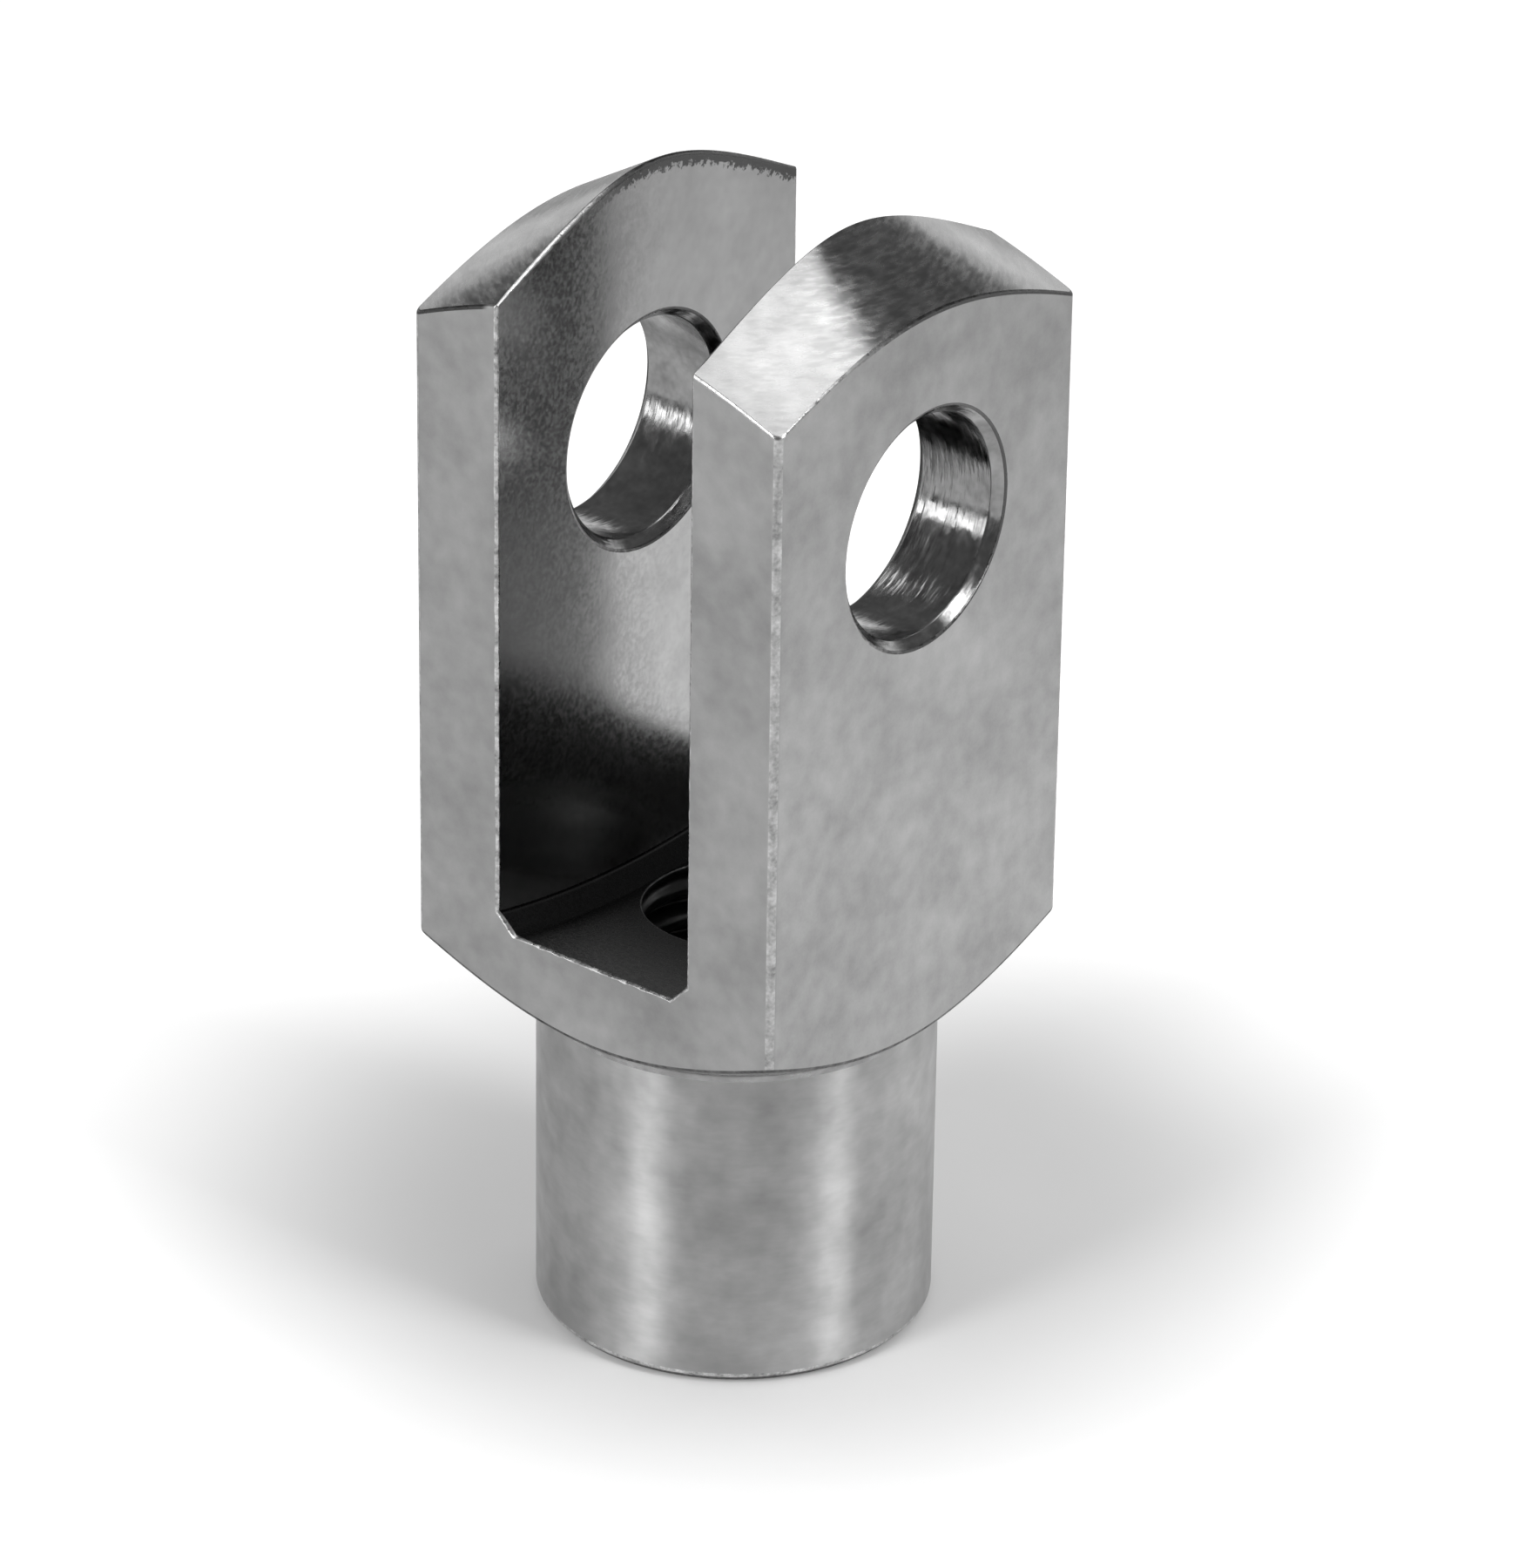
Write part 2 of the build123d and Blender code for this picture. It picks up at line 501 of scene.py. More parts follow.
slot_wall = np.concatenate([root_grid[0], wall_line[root_top - 1 : 0 : -1], wall_top[::-1], inner_rim[::-1]])
add_flat(slot_wall, "milled", 4)
print("the slot's floor rises by", round(slot_rise(half_bar) / MM, 2), "mm towards the flat sides")

# %% [markdown]
# ## Joining the patches
#
# Each patch is mirrored as often as it says, its points go into one long array, and its faces count on
# from there. Merging doubles then closes the seams, and the normals are turned outwards at the end,
# because a mirrored patch is inside out. A closed part has no edge with only one face.


# %% Build the mesh
join_distance = 0.0005 * MM


def cells(rows, columns):
    """Corner numbers of each cell of a grid, four to a face."""
    first = (np.arange(rows - 1)[:, None] * columns + np.arange(columns - 1)).ravel()
    return np.stack([first, first + 1, first + columns + 1, first + columns], 1)


def build_mesh(name):
    """Puts all the patches into one mesh, with a material index for each finish."""
    mirrors = np.array([(1, 1, 1), (1, -1, 1), (-1, 1, 1), (-1, -1, 1)])
    points, faces, finishes, count = [], [], [], 0
    for kind, patch, finish, copies in patches:
        if kind == "grid" and copies == 1:
            patch = np.concatenate([patch, patch[:, :1]], 1)
        corners = cells(*patch.shape[:2]) if kind == "grid" else np.arange(len(patch))[None]
        for mirror in mirrors[:copies]:
            points.append(patch.reshape(-1, 3) * mirror)
            faces += (corners + count).tolist()
            finishes += [FINISHES.index(finish)] * len(corners)
            count += len(points[-1])
    mesh = bpy.data.meshes.new(name)
    mesh.from_pydata(np.concatenate(points), [], faces)
    mesh.polygons.foreach_set("material_index", finishes)
    shape = bmesh.new()
    shape.from_mesh(mesh)
    bmesh.ops.remove_doubles(shape, verts=shape.verts, dist=join_distance)
    bmesh.ops.dissolve_degenerate(shape, edges=shape.edges, dist=join_distance)
    bmesh.ops.recalc_face_normals(shape, faces=shape.faces)
    loose = [edge for edge in shape.edges if len(edge.link_faces) != 2]
    print(name, "has", len(shape.faces), "faces,", len(loose), "open edges and a volume of",
          round(shape.calc_volume(signed=True) / MM**3), "cubic mm")
    shape.to_mesh(mesh)
    shape.free()
    return mesh


fork_mesh = build_mesh("fork_head_finished")

# %% [markdown]
# ## The finished piece
#
# The shading is smooth, so the soft edges look round. Each point's normal is a mean that gives the say
# to the larger faces, which keeps the flat sides flat and the cones straight right up to their edges.
# Blender's own modifier for this treats all faces under a square millimetre alike, so it can't help a
# part of this size, and the mean is worked out here.


# %% Normals that follow the larger faces
def weigh_normals(mesh):
    """Sets each point's normal to the sum of normal x area^2 over the faces that meet there."""
    normal, area = np.empty(len(mesh.polygons) * 3), np.empty(len(mesh.polygons))
    corners = np.empty(len(mesh.polygons), int)
    mesh.polygons.foreach_get("normal", normal)
    mesh.polygons.foreach_get("area", area)
    mesh.polygons.foreach_get("loop_total", corners)
    point = np.empty(len(mesh.loops), int)
    mesh.loops.foreach_get("vertex_index", point)
    pull = np.repeat(normal.reshape(-1, 3) * (area[:, None] / MM**2) ** 2, corners, axis=0)
    total = np.zeros((len(mesh.vertices), 3))
    np.add.at(total, point, pull)
    mesh.polygons.foreach_set("use_smooth", np.ones(len(mesh.polygons), bool))
    mesh.normals_split_custom_set_from_vertices(total / np.linalg.norm(total, axis=1, keepdims=True))


weigh_normals(fork_mesh)
print("normals set on", len(fork_mesh.vertices), "points")

# %% [markdown]
# The mesh becomes one object at the origin. It rides on the frame's only body and stands for the CAD
# solid, which is hidden.

# %% Place the fork head
fork = bpy.data.objects.new("fork_head_finished", fork_mesh)
bpy.context.collection.objects.link(fork)
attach(fork, "root")
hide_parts("fork_head")
print(fork.name, "has", len(fork_mesh.polygons), "faces and rides on root")

# %% [markdown]
# ## Steel, and what the tools left on it
#
# The part is bright zinc plate over steel. All of it is one metal, so the finishes differ only in how
# dark and how smooth they are, and in the marks that each tool left. These few helpers add the nodes
# and join them, so that each finish below reads like a list of what it is made of.

# %% Helpers for node trees
def add_node(tree, kind, values=None, **settings):
    """Adds a shader node. Each value is a number for a socket, or a socket to link from."""
    made = tree.nodes.new("ShaderNode" + kind)
    for name, setting in settings.items():
        setattr(made, name, setting)
    for socket, value in (values or {}).items():
        if isinstance(value, bpy.types.NodeSocket):
            tree.links.new(value, made.inputs[socket])
        else:
            made.inputs[socket].default_value = value
    return made


def calculate(tree, operation, *values):
    """Adds a Math node and gives its result."""
    return add_node(tree, "Math", dict(enumerate(values)), operation=operation).outputs[0]


def new_group(name, inputs, outputs):
    """Starts a node group. inputs gives a number for each value, and a None for the place."""
    tree = bpy.data.node_groups.new(name, "ShaderNodeTree")
    for label, value in inputs.items():
        kind = "NodeSocketVector" if value is None else "NodeSocketFloat"
        socket = tree.interface.new_socket(label, in_out="INPUT", socket_type=kind)
        if value is not None:
            socket.default_value = value
    for label in outputs:
        tree.interface.new_socket(label, in_out="OUTPUT", socket_type="NodeSocketFloat")
    return tree, tree.nodes.new("NodeGroupInput").outputs, tree.nodes.new("NodeGroupOutput").inputs


# %% [markdown]
# A plated surface is never one even grey. The zinc bath leaves soft clouds some millimetres wide, with
# finer ones in them. Several finishes need them, so they are a node group with a size and a depth. A
# group only gives values, and the shader stays in the material.

# %% Clouds in the plating
def make_clouds(finer=4.0, share=0.5, gain=4.0):
    """Shade = 1 + gain x depth x (broad noise + share x finer noise - the middle of the two). A noise
    has its middle at a half, and the gain brings its small swing to about one."""
    tree, given, result = new_group("plating clouds", {"Place": None, "Size": 6.0, "Depth": 0.1}, ["Shade"])
    middle = 0.5 + share * 0.5
    scale = calculate(tree, "DIVIDE", 1.0, given["Size"])
    broad = add_node(tree, "TexNoise", {"Vector": given["Place"], "Scale": scale, "Detail": 3.0})
    fine_scale = calculate(tree, "MULTIPLY", scale, finer)
    fine = add_node(tree, "TexNoise", {"Vector": given["Place"], "Scale": fine_scale, "Detail": 4.0})
    both = calculate(tree, "MULTIPLY_ADD", fine.outputs["Fac"], share, broad.outputs["Fac"])
    swing = calculate(tree, "MULTIPLY", calculate(tree, "SUBTRACT", both, middle), given["Depth"])
    tree.links.new(calculate(tree, "MULTIPLY_ADD", swing, gain, 1.0), result["Shade"])
    return tree


clouds = make_clouds()


# %% [markdown]
# Every cutting tool leaves fine marks along its path: rings on a turned face, arcs on a milled one. The
# second shared effect gives them for any path, because each finish says which measure is the feed.

# %% Marks along the tool's path
def make_tool_marks(coarse_share=0.6):
    """Marks change fast along one measure, the feed, and slowly over the place: noise in four
    dimensions at (place / length, feed / pitch). Height = the fine set + coarse_share x a set of
    twice the pitch, and Streak is the coarse set alone."""
    inputs = {"Place": None, "Feed": 0.0, "Pitch": 0.2, "Length": 6.0}
    tree, given, result = new_group("tool marks", inputs, ["Height", "Streak"])
    sets = []
    for size in (1.0, 2.0):
        step = calculate(tree, "DIVIDE", given["Feed"], calculate(tree, "MULTIPLY", given["Pitch"], size))
        scale = calculate(tree, "DIVIDE", size, given["Length"])
        slow = add_node(tree, "VectorMath", {0: given["Place"], "Scale": scale}, operation="SCALE")
        values = {"Vector": slow.outputs[0], "W": step, "Scale": 1.0, "Detail": 2.0}
        marks = add_node(tree, "TexNoise", values, noise_dimensions="4D")
        sets.append(marks.outputs["Fac"])
    tree.links.new(calculate(tree, "MULTIPLY_ADD", sets[1], coarse_share, sets[0]), result["Height"])
    tree.links.new(sets[1], result["Streak"])
    return tree


tool_marks = make_tool_marks()
print("shared effects:", [group.name for group in bpy.data.node_groups])


# %% [markdown]
# Every finish starts with the same metal shader and ends with the same four links: grey, roughness,
# bump and normal. Those are written once. Places are read in millimetres, which are easier to picture
# than metres next to marks of a tenth.

# %% The start and the end of every finish
def new_finish(name):
    """Starts a material: its tree, its shader, and the place on the part in millimetres."""
    material = bpy.data.materials.new(name)
    material.use_nodes = True
    tree = material.node_tree
    tree.nodes.clear()
    shader = add_node(tree, "BsdfPrincipled", {"Metallic": 1.0})
    add_node(tree, "OutputMaterial", {"Surface": shader.outputs[0]})
    coordinates = add_node(tree, "TexCoord").outputs["Object"]
    place = add_node(tree, "VectorMath", {0: coordinates, "Scale": 1 / MM}, operation="SCALE")
    return material, tree, shader, place.outputs[0]


def use_group(tree, group, values):
    """Places a shared effect in a material and gives its outputs."""
    made = tree.nodes.new("ShaderNodeGroup")
    made.node_tree = group
    for socket, value in values.items():
        if isinstance(value, bpy.types.NodeSocket):
            tree.links.new(value, made.inputs[socket])
        else:
            made.inputs[socket].default_value = value
    return made.outputs


def shade_metal(tree, shader, tone, shade, roughness, height, depth):
    """Sets the colour to tone x shade, the roughness, and a bump whose full height is depth."""
    grey = calculate(tree, "MULTIPLY", shade, tone)
    colour = add_node(tree, "CombineColor", {"Red": grey, "Green": grey, "Blue": grey})
    tree.links.new(colour.outputs[0], shader.inputs["Base Color"])
    tree.links.new(roughness, shader.inputs["Roughness"])
    bump = add_node(tree, "Bump", {"Height": height, "Strength": 1.0, "Distance": depth})
    tree.links.new(bump.outputs[0], shader.inputs["Normal"])


def spread(tree, value, low, high, least=0.3, most=0.7):
    """Goes smoothly from low to high while the value goes from least to most. Left as they are, least
    and most suit a noise, which mostly lies between them."""
    ranges = {"Value": value, "From Min": least, "From Max": most, "To Min": low, "To Max": high}
    return add_node(tree, "MapRange", ranges, interpolation_type="SMOOTHSTEP").outputs[0]


# %% [markdown]
# ### Drawn sides
#
# The flat sides were never machined. They are the bar's own skin, drawn through a die and plated: mid
# grey, cloudy, half dull, with faint lines along the bar.

# %% Drawn flat sides
def make_drawn(tone=0.375, rough=(0.36, 0.46), grain_share=0.8, depth=0.0018 * MM):
    """The flat sides: wide clouds, faint lines along the bar from drawing it, and a fine grain."""
    material, tree, shader, place = new_finish("drawn sides")
    shade = use_group(tree, clouds, {"Place": place, "Size": 4.0, "Depth": 0.16})["Shade"]
    grain = add_node(tree, "TexNoise", {"Vector": place, "Scale": 7.0, "Detail": 3.0}).outputs[0]
    across = add_node(tree, "VectorMath", {0: place, 1: (1.0, 1.0, 0.0)}, operation="DOT_PRODUCT")
    marks = use_group(tree, tool_marks, {
        "Place": place, "Feed": across.outputs["Value"], "Pitch": 0.25, "Length": 9.0})
    height = calculate(tree, "MULTIPLY_ADD", grain, grain_share, marks["Height"])
    shade_metal(tree, shader, tone, shade, spread(tree, grain, *rough), height, depth)
    return material


# %% [markdown]
# ### Turned cones and neck
#
# The crown, the shoulder and the neck were cut on a lathe, and each one shows the light as a bright fan
# or a bright strip. That comes from rings finer than a hair, which spread a reflection across
# themselves and keep it narrow along themselves. Modelling them would take millions of faces, so the
# shader's anisotropy does it. The cones are coarser than the neck, and more streaked.

# %% Turned ends
def make_turned(name, feed_axis, tone, smooth, pitch, streaks, depth):
    """A turned face: rings of one radius on the cones, or of one height on the neck. The rings are too
    fine to model, but they smear every reflection across themselves, which anisotropy gives."""
    material, tree, shader, place = new_finish(name)
    shader.inputs["Anisotropic"].default_value = 0.92
    shader.inputs["Anisotropic Rotation"].default_value = 0.25
    axes = add_node(tree, "SeparateXYZ", {0: place}).outputs
    y_square = calculate(tree, "MULTIPLY", axes["Y"], axes["Y"])
    squares = calculate(tree, "MULTIPLY_ADD", axes["X"], axes["X"], y_square)
    feed = axes["Z"] if feed_axis == "Z" else calculate(tree, "SQRT", squares)
    shade = use_group(tree, clouds, {"Place": place, "Size": 5.0, "Depth": 0.20})["Shade"]
    marks = use_group(tree, tool_marks, {"Place": place, "Feed": feed, "Pitch": pitch, "Length": 1.6})
    rough = spread(tree, marks["Streak"], smooth, smooth + streaks / 2)
    streaked = calculate(tree, "MULTIPLY", shade, spread(tree, marks["Streak"], 1 - streaks, 1 + streaks))
    shade_metal(tree, shader, tone, streaked, rough, marks["Height"], depth)
    return material


# %% [markdown]
# ### Bored pin hole
#
# The drill leaves the deepest marks on the part. They break up the strip of light in the hole into
# short bright dashes, so here the bump is about seven times as deep as on the cones.

# %% Bored pin hole
def make_bored(tone=0.34, rough=(0.12, 0.26), depth=0.022 * MM):
    """The pin hole: bright rings about the pin's axis, deeper than elsewhere and broken into dashes."""
    material, tree, shader, place = new_finish("bored pin hole")
    axes = add_node(tree, "SeparateXYZ", {0: place}).outputs
    shade = use_group(tree, clouds, {"Place": place, "Size": 1.5, "Depth": 0.25})["Shade"]
    marks = use_group(tree, tool_marks, {"Place": place, "Feed": axes["X"], "Pitch": 0.25, "Length": 1.6})
    shade_metal(tree, shader, tone, shade, spread(tree, marks["Streak"], *rough), marks["Height"], depth)
    return material


# %% [markdown]
# ### Milled slot
#
# The slot's walls mirror each other and the floor behind the part, so they have to be smooth. What
# breaks the picture up is a fine grain. The root and the floor are nearly black in the photograph, so
# they use the same recipe with a much darker tone, which is painted shade at the slot's bottom.

# %% Milled slot
def make_milled(name, tone, smooth, depth, marks_share=0.35, ragged=1.2, dark_band_end=(1.15, 1.35)):
    """The slot: the teeth of the plunging disc leave arcs, each one the last moved down along Z, so
    the feed is z + sqrt(radius^2 - y^2), the height of the disc's middle. It is smooth, with a fine
    grain. At the back a ragged band below the crown is darker: a burr and painted shade under it. The
    band ends where the depth below the crown + ragged x grain, in millimetres, goes through
    dark_band_end."""
    material, tree, shader, place = new_finish(name)
    axes = add_node(tree, "SeparateXYZ", {0: place}).outputs
    squares = calculate(tree, "MULTIPLY", axes["Y"], axes["Y"])
    inside = calculate(tree, "SUBTRACT", (slot_cutter / MM) ** 2, squares)
    feed = calculate(tree, "ADD", axes["Z"], calculate(tree, "SQRT", inside))
    shade = use_group(tree, clouds, {"Place": place, "Size": 3.0, "Depth": 0.10})["Shade"]
    marks = use_group(tree, tool_marks, {"Place": place, "Feed": feed, "Pitch": 0.15, "Length": 2.5})
    grain = add_node(tree, "TexNoise", {"Vector": place, "Scale": 5.0, "Detail": 2.0}).outputs[0]
    height = calculate(tree, "MULTIPLY_ADD", marks["Height"], marks_share, grain)
    rough = spread(tree, grain, smooth, smooth + 0.08)

    # Painted shade with a burr: a ragged band below the crown, towards the back, is darkened.
    reach = calculate(tree, "SQRT", calculate(tree, "ADD", squares, (half_slot / MM) ** 2))
    crown = calculate(tree, "MULTIPLY_ADD", reach, -slope, (ear_tip + half_slot * slope) / MM)
    below = calculate(tree, "SUBTRACT", crown, axes["Z"])
    burr = spread(tree, calculate(tree, "MULTIPLY_ADD", grain, ragged, below), 1.0, 0.0, *dark_band_end)
    behind = spread(tree, axes["Y"], 0.0, 0.75, least=-4.5, most=-1.0)
    clean = calculate(tree, "SUBTRACT", 1.0, calculate(tree, "MULTIPLY", burr, behind))
    shade_metal(tree, shader, tone, calculate(tree, "MULTIPLY", shade, clean), rough, height, depth)
    return material


# %% [markdown]
# ### Edges
#
# Edges tell most about how a part was handled. Where a file or the drum rubbed them they are bright and
# speckled. The same recipe paints the rolled corners brighter, as a painted highlight, and the edges
# under the shoulder, at the base and at the bore's mouth dark, as painted shade. It takes a tone, a
# roughness and how much the speckles vary.

# %% Broken edges
def make_edge(name, tone, smooth, speckle, depth=0.02 * MM):
    """The edges: rough from the file or the brush, and brighter or darker than the sides by their
    tone: rubbed bright on the broken edges, a painted highlight on the rolled corners and painted
    shade on the dull edges. speckle says how much their tone varies."""
    material, tree, shader, place = new_finish(name)
    shade = use_group(tree, clouds, {"Place": place, "Size": 0.6, "Depth": speckle})["Shade"]
    grain = add_node(tree, "TexNoise", {"Vector": place, "Scale": 5.0, "Detail": 3.0}).outputs[0]
    rough = spread(tree, grain, smooth, smooth + 0.2)
    shade_metal(tree, shader, tone, shade, rough, grain, depth)
    return material


# %% [markdown]
# ### Crown's rims
#
# The crown's rim changes from bright to dark along its length, as the photograph shows: a painted
# highlight in front and painted shade behind. So it needs a recipe that knows where it is on the part,
# and the pin hole's rims share it.

# %% Crown's rims
def make_rim(dark=0.11, bright=0.42, shift=8.0, rough=(0.22, 0.42), depth=0.02 * MM):
    """The crown's rims: a painted highlight in front and painted shade behind. Noise moves the
    border between the two by up to `shift` millimetres and breaks it up. On the far ear's outer rim
    the painted shade is dark in front as well."""
    material, tree, shader, place = new_finish("crown rims with painted light")
    axes = add_node(tree, "SeparateXYZ", {0: place}).outputs
    grain = add_node(tree, "TexNoise", {"Vector": place, "Scale": 2.5, "Detail": 3.0}).outputs[0]
    along = calculate(tree, "MULTIPLY_ADD", grain, shift, axes["Y"])
    # Painted light: bright in front as a highlight and dark behind as shade, along y.
    painted_light = spread(tree, along, bright, dark, least=-2.0, most=3.0)
    # Painted shade: the far ear's outer rim is darker, also in front.
    far_ear_tone = spread(tree, axes["X"], 0.2, 1.0, least=-6.2, most=-5.7)
    shade_metal(tree, shader, far_ear_tone, painted_light, spread(tree, grain, *rough), grain, depth)
    return material


# %% [markdown]
# ### Cut thread
#
# Deep in the bore the thread gets a dark tone, painted shade for what little light gets in.

# %% Cut thread
def make_thread(tone=0.12, rough=(0.28, 0.42), depth=0.002 * MM):
    """The thread: a darker tone, painted shade deep in the bore, with marks round the bore."""
    material, tree, shader, place = new_finish("cut thread in painted shade")
    axes = add_node(tree, "SeparateXYZ", {0: place}).outputs
    shade = use_group(tree, clouds, {"Place": place, "Size": 1.5, "Depth": 0.2})["Shade"]
    marks = use_group(tree, tool_marks, {"Place": place, "Feed": axes["Z"], "Pitch": 0.12, "Length": 2.0})
    shade_metal(tree, shader, tone, shade, spread(tree, marks["Streak"], *rough), marks["Height"], depth)
    return material


# %% [markdown]
# Each patch was given the name of its finish when it was added. Here every name gets its material, in
# the order that the mesh counts them.

# %% Give each finish its material
materials = {
    "flat": make_drawn(),
    "turned": make_turned(
        "turned cones", "radius", tone=0.41, smooth=0.19, pitch=0.12, streaks=0.20, depth=0.0032 * MM
    ),
    "neck": make_turned(
        "turned neck", "Z", tone=0.44, smooth=0.34, pitch=0.12, streaks=0.03, depth=0.0004 * MM
    ),
    "bored": make_bored(),
    "milled": make_milled("milled slot", tone=0.41, smooth=0.16, depth=0.0015 * MM),
    # A near black tone: painted shade at the bottom of the slot, on its root and floor.
    "root": make_milled("slot root in painted shade", tone=0.028, smooth=0.24, depth=0.0004 * MM),
    # A brighter tone than the sides: a painted highlight down the round corners.
    "corner": make_edge("rolled corners with painted highlight", tone=0.50, smooth=0.34, speckle=0.35),
    "edge": make_edge("broken edges", tone=0.52, smooth=0.25, speckle=0.5),
    # Painted highlight in front and painted shade behind, on the crown's and the pin hole's rims.
    "rim": make_rim(),
    # A dark tone as painted shade: under the shoulder, at the base and at the bore's mouth.
    "dull": make_edge("edges in painted shade", tone=0.14, smooth=0.35, speckle=0.5),
    # A dark tone: painted shade deep in the bore.
    "thread": make_thread(),
}
for finish in FINISHES:
    fork_mesh.materials.append(materials[finish])
print("finishes:", [material.name for material in fork_mesh.materials])

# %% [markdown]
# ## Floor, light and world
#
# A bright metal shows mostly what stands around it, so the studio is chosen for what the part reflects.
# The floor is plain and pale. The photograph's background was cut out, and the dark parts of the slot's
# wall call for shade behind the part, so the floor has a special paint for both: a fade to white for the
# camera, and painted shade behind the part that only reflections see. A patch on the right glows for
# reflections too. Each range below is a distance where the paint starts to change and one where the
# change is complete: the shade strip's are measured along the view and to both sides of it, and the
# others from a middle.

# %% Floor
view_turn = radians(39.003)
ahead = (-sin(view_turn), cos(view_turn), 0)
aside = (cos(view_turn), sin(view_turn), 0)
fade_middle = (-3.2 * MM, 7.0 * MM, 0)
fade_range = (13 * MM, 38 * MM)
patch_middle = (35 * MM, 47 * MM, 0)
patch_range = (18 * MM, 48 * MM)
shade_strip_start = (45 * MM, 85 * MM)
shade_strip_end = (125 * MM, 165 * MM)
shade_strip_side = (45 * MM, 70 * MM)


def make_floor_paint(dark=0.07, paler=0.62, glow_share=0.08, fade_glow=0.5, patch_glow=0.38):
    """Pale and even. The photograph's background was cut out, so for the camera alone the floor
    fades to white round the part. For reflections alone a strip behind the part is painted dark, as
    shade, and a patch on the right glows. The grey is dark + paler x bright, and bright is 0 on the
    shade strip."""
    material = bpy.data.materials.new("pale floor")
    material.use_nodes = True
    tree = material.node_tree
    shader = tree.nodes["Principled BSDF"]
    shader.inputs["Roughness"].default_value = 0.9
    shader.inputs["Specular IOR Level"].default_value = 0.0
    shader.inputs["Emission Color"].default_value = (1, 1, 1, 1)
    spot = add_node(tree, "TexCoord").outputs["Object"]
    seen = add_node(tree, "LightPath").outputs["Is Camera Ray"]

    from_middle = add_node(tree, "VectorMath", {0: spot, 1: fade_middle}, operation="DISTANCE")
    fade = spread(tree, from_middle.outputs["Value"], 0.0, fade_glow, *fade_range)
    behind = add_node(tree, "VectorMath", {0: spot, 1: ahead}, operation="DOT_PRODUCT")
    beside = add_node(tree, "VectorMath", {0: spot, 1: aside}, operation="DOT_PRODUCT")
    # Painted shade: a dark strip on the floor behind the part, seen only in reflections.
    near = spread(tree, behind.outputs["Value"], 0.0, 1.0, *shade_strip_start)
    far = spread(tree, behind.outputs["Value"], 1.0, 0.0, *shade_strip_end)
    across = spread(tree, calculate(tree, "ABSOLUTE", beside.outputs["Value"]), 1.0, 0.0, *shade_strip_side)
    shade_strip = calculate(tree, "MULTIPLY", calculate(tree, "MULTIPLY", near, far), across)
    mirrored = calculate(tree, "SUBTRACT", 1.0, seen)
    bright = calculate(tree, "SUBTRACT", 1.0, calculate(tree, "MULTIPLY", shade_strip, mirrored))
    # A glowing patch, no lamp and unseen by the camera, gives the slot's far wall a bright painted
    # reflection.
    from_patch = add_node(tree, "VectorMath", {0: spot, 1: patch_middle}, operation="DISTANCE")
    glow_patch = spread(tree, from_patch.outputs["Value"], patch_glow, 0.0, *patch_range)
    grey = calculate(tree, "MULTIPLY_ADD", bright, paler, dark)
    colour = add_node(tree, "CombineColor", {"Red": grey, "Green": grey, "Blue": grey})
    tree.links.new(colour.outputs[0], shader.inputs["Base Color"])
    even_glow = calculate(tree, "MULTIPLY", bright, glow_share)
    glow = calculate(tree, "MULTIPLY_ADD", fade, seen, even_glow)
    tree.links.new(calculate(tree, "MULTIPLY_ADD", glow_patch, mirrored, glow), shader.inputs["Emission Strength"])
    return material


floor_half = 1.5
floor_corners = np.array([(-1, -1, 0), (1, -1, 0), (1, 1, 0), (-1, 1, 0)]) * floor_half
floor_mesh = bpy.data.meshes.new("floor")
floor_mesh.from_pydata(floor_corners, [], [(0, 1, 2, 3)])
floor_mesh.materials.append(make_floor_paint())
floor = bpy.data.objects.new("floor", floor_mesh)
bpy.context.collection.objects.link(floor)
print("the floor is", 2 * floor_half, "m wide")

# %% [markdown]
# The world stands for a dim room with a pale backdrop behind the part. The crown's far half mirrors the
# backdrop as a light grey, and the dark room above it as the dark fan. The two ranges are where the
# backdrop ends, as the height and the forward part of a line of sight.

# %% World
backdrop_top = (0.20, 0.36)
backdrop_side = (-0.15, 0.15)
backdrop_strength = 0.90
room_strength = 0.13
world = bpy.data.worlds.new("studio")
bpy.context.scene.world = world
world.use_nodes = True
sky = world.node_tree
sight = add_node(sky, "TexCoord").outputs["Generated"]
upward = add_node(sky, "SeparateXYZ", {0: sight}).outputs["Z"]
away = add_node(sky, "VectorMath", {0: sight, 1: ahead}, operation="DOT_PRODUCT")
low = spread(sky, upward, 1.0, 0.0, *backdrop_top)
beyond = spread(sky, away.outputs["Value"], 0.0, 1.0, *backdrop_side)
backdrop = calculate(sky, "MULTIPLY", low, beyond)
strength = calculate(sky, "MULTIPLY_ADD", backdrop, backdrop_strength, room_strength)
sky.links.new(strength, sky.nodes["Background"].inputs["Strength"])
sky.nodes["Background"].inputs["Color"].default_value = (1, 1, 1, 1)
print("the world's strength goes from", room_strength, "to", room_strength + backdrop_strength)


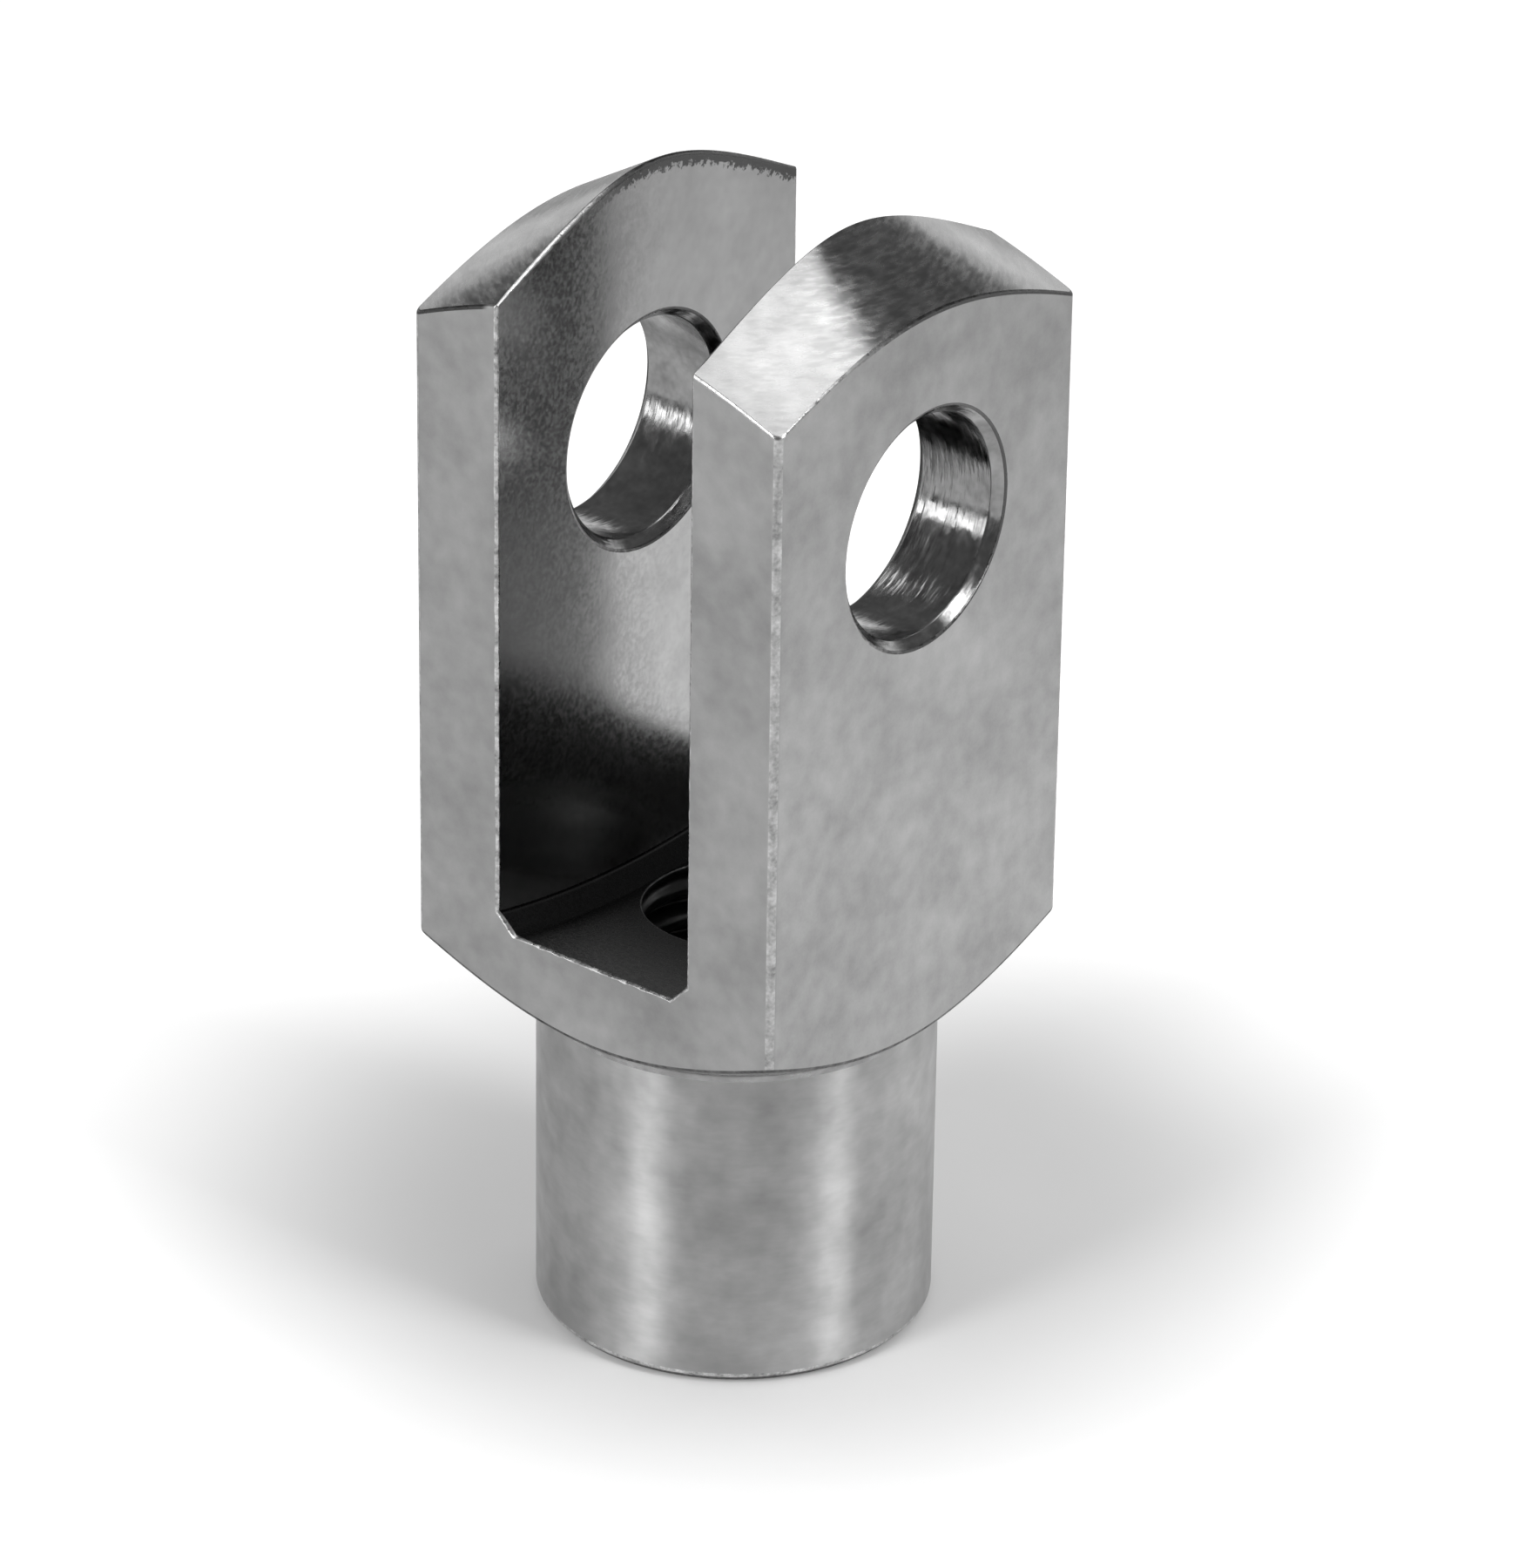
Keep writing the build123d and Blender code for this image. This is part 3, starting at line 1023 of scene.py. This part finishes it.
# %% [markdown]
# One wide soft light hangs overhead and is what the crown mirrors as its white patch. Three soft boxes
# round the front light the sides, and give the neck its two bright strips and the pin hole its dashes.

# %% Soft lights
def add_soft_light(name, place, width, depth, radiance):
    """A soft box that faces the part's middle. A flat lamp gives its power over pi times its area."""
    data = bpy.data.lights.new(name, "AREA")
    data.shape = "RECTANGLE"
    data.size = width
    data.size_y = depth
    data.energy = radiance * np.pi * width * depth
    lamp = bpy.data.objects.new(name, data)
    facing = (Vector((0, 0, highest.z / 2)) - Vector(place)).to_track_quat("-Z", "Y")
    lamp.matrix_world = Matrix.Translation(place) @ facing.to_matrix().to_4x4()
    bpy.context.collection.objects.link(lamp)


add_soft_light("overhead", (0.0, 0.075, 0.63), width=0.38, depth=0.38, radiance=2.2)
add_soft_light("right", (0.41, 0.05, 0.30), width=0.14, depth=0.50, radiance=7.6)
add_soft_light("front", (-0.07, -0.42, 0.28), width=0.13, depth=0.50, radiance=6.6)
add_soft_light("left front", (-0.18, -0.45, 0.125), width=0.30, depth=0.10, radiance=3.5)
print("soft lights:", [light.name for light in bpy.data.lights])

# %% [markdown]
# ## Camera
#
# The camera stands where the photograph was taken from. Its turn and tilt say which way it looks, and
# its distance and lens were found from the corners of the square body, whose sides are known.

# %% Camera
tilt = radians(27.066)
roll = radians(0.811)
distance = 0.35056
target_aside = 0.994 * MM
target_height = 25.217 * MM
level = Vector(aside)
back = Vector(ahead) * -cos(tilt) + Vector((0, 0, sin(tilt)))
rise = back.cross(level)
right = level * cos(roll) + rise * sin(roll)
up = rise * cos(roll) - level * sin(roll)
target = level * target_aside + Vector((0, 0, target_height))

camera_data = bpy.data.cameras.new("camera")
camera_data.sensor_width = 36
camera_data.lens = 184.30
camera_data.clip_start = 0.01
camera_data.clip_end = 10
camera = bpy.data.objects.new("camera", camera_data)
axes = Matrix((right, up, back)).transposed().to_4x4()
camera.matrix_world = Matrix.Translation(target + back * distance) @ axes
bpy.context.collection.objects.link(camera)
bpy.context.scene.camera = camera
bpy.context.scene.view_settings.view_transform = "Standard"
print("the camera stands at", [round(v, 3) for v in camera.matrix_world.translation], "m")
